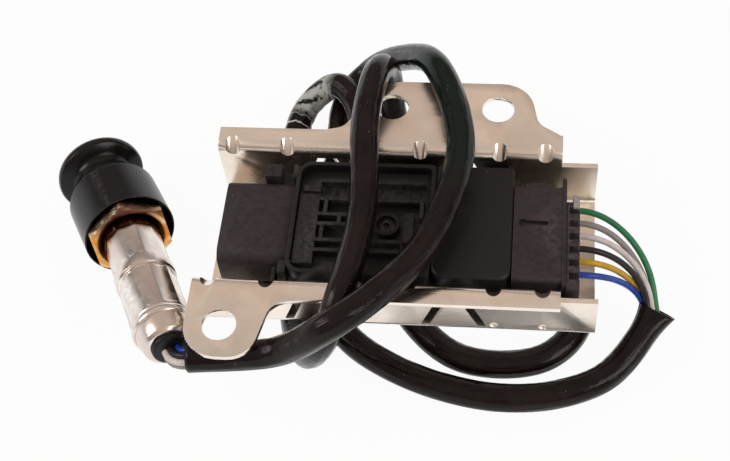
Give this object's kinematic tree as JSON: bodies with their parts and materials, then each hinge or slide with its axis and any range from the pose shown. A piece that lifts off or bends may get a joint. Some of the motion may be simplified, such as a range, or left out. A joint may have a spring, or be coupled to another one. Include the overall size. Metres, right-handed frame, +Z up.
{
  "type": "nitrogen oxide sensor",
  "caption": "Exhaust gas probe with a captive hexagon nut and protective cap, joined by a sleeved cable to a control module in a bent steel bracket with bolt tabs.",
  "frame": {"origin": "middle of the box round the bracket, module and probe, at the height of the surface they lie on", "axes": "+X along the bracket towards its low end and the sensor plug, +Y towards the far tab with two holes, +Z up"},
  "size_m": [0.1836, 0.1291, 0.0526],
  "materials": {
    "bracket_steel": "satin rolled stainless sheet, slightly warm",
    "housing_plastic": "satin black moulded glass-filled plastic",
    "cover_plastic": "smooth black moulded plastic",
    "shroud_plastic": "fine-grained black moulded plastic",
    "lock_plastic": "grey, slightly translucent moulded plastic",
    "board": "green board",
    "screw_steel": "dark coated steel",
    "pin_metal": "plated contact metal",
    "cap_plastic": "soft black moulded plastic, satin",
    "nut_metal": "steel nut under orange-brown anti-seize paste",
    "seal_metal": "copper",
    "probe_steel": "bright stainless steel, rolled and crimped",
    "ceramic": "white ceramic",
    "grommet_rubber": "black rubber",
    "sleeve_plastic": "glossy black wrinkled sleeve",
    "lead_green": "green insulation",
    "lead_grey": "grey insulation",
    "lead_white": "white insulation",
    "lead_black": "black insulation",
    "lead_yellow": "yellow insulation",
    "lead_blue": "blue insulation"
  },
  "bodies": {
    "sensor": {"mounting_bracket": "bracket_steel", "module_housing": "housing_plastic", "circuit_board": "board", "module_lid": "housing_plastic", "smooth_cover": "cover_plastic", "centre_screw": "screw_steel", "connector_shroud": "shroud_plastic", "terminal_pins": "pin_metal", "plug_housing": "cover_plastic", "plug_collar": "cover_plastic", "plug_rear_cover": "shroud_plastic", "plug_latch": "shroud_plastic", "plug_lock": "lock_plastic", "seal_ring": "seal_metal", "perforated_tube": "probe_steel", "inner_tube": "probe_steel", "sensing_element": "ceramic", "probe_body": "probe_steel", "crimp_ring": "probe_steel", "rear_grommet": "grommet_rubber", "harness_sleeve": "sleeve_plastic", "lead_green": "lead_green", "lead_grey": "lead_grey", "lead_white": "lead_white", "lead_black": "lead_black", "lead_yellow": "lead_yellow", "lead_blue": "lead_blue"},
    "nut": {"sleeve_nut": "nut_metal", "protective_cap": "cap_plastic"}
  },
  "joints": [
    {"name": "nut_turn", "type": "hinge", "parent": "sensor", "child": "nut", "pos_m": [-0.05257, 0.0011, 0.02004], "axis": [0.4384, -0.8736, 0.2113], "continuous": true}
  ]
}
